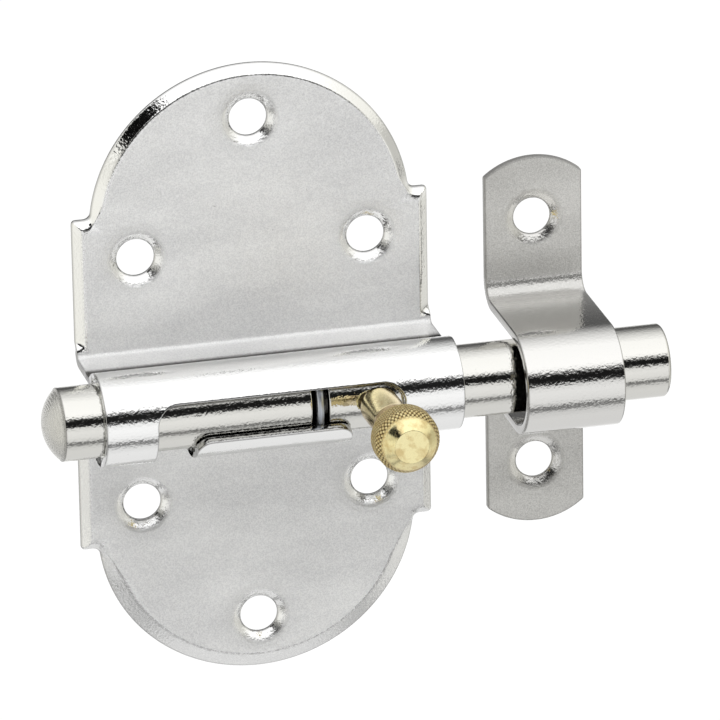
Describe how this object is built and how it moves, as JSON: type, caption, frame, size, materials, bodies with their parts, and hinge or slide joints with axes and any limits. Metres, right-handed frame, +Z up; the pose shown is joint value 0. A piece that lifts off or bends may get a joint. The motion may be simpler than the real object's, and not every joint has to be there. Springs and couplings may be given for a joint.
{
  "type": "spring barrel bolt",
  "caption": "Barrel bolt on a pressed plate with rounded ends, folded into a slotted barrel, with a sliding round bolt, a brass turning knob and a separate strap keeper.",
  "frame": {"origin": "middle of the plate's screw holes, on the wall plane", "axes": "+X along the bolt towards its nose and the keeper, +Y into the wall, +Z up"},
  "size_m": [0.1039, 0.0442, 0.1048],
  "materials": {
    "nickel_sheet": "satin nickel plate on pressed steel, polished on the barrel and rim",
    "nickel_strap": "satin nickel plate on bent steel strap",
    "nickel_rod": "polished nickel plate on turned steel",
    "spring_steel": "bright drawn wire",
    "turned_brass": "turned and knurled, unlacquered"
  },
  "bodies": {
    "plate": {"barrel_plate": "nickel_sheet", "keeper": "nickel_strap"},
    "ring": {"spring_ring": "spring_steel"},
    "bolt": {"bolt_rod": "nickel_rod", "knob": "turned_brass"}
  },
  "joints": [
    {"name": "bolt_slide", "type": "slide", "parent": "plate", "child": "ring", "axis": [-1, 0, 0], "range_m": [0, 0.033]},
    {"name": "bolt_turn", "type": "hinge", "parent": "ring", "child": "bolt", "pos_m": [0.006, -0.016, 0], "axis": [1, 0, 0], "range_deg": [0, 84]}
  ]
}
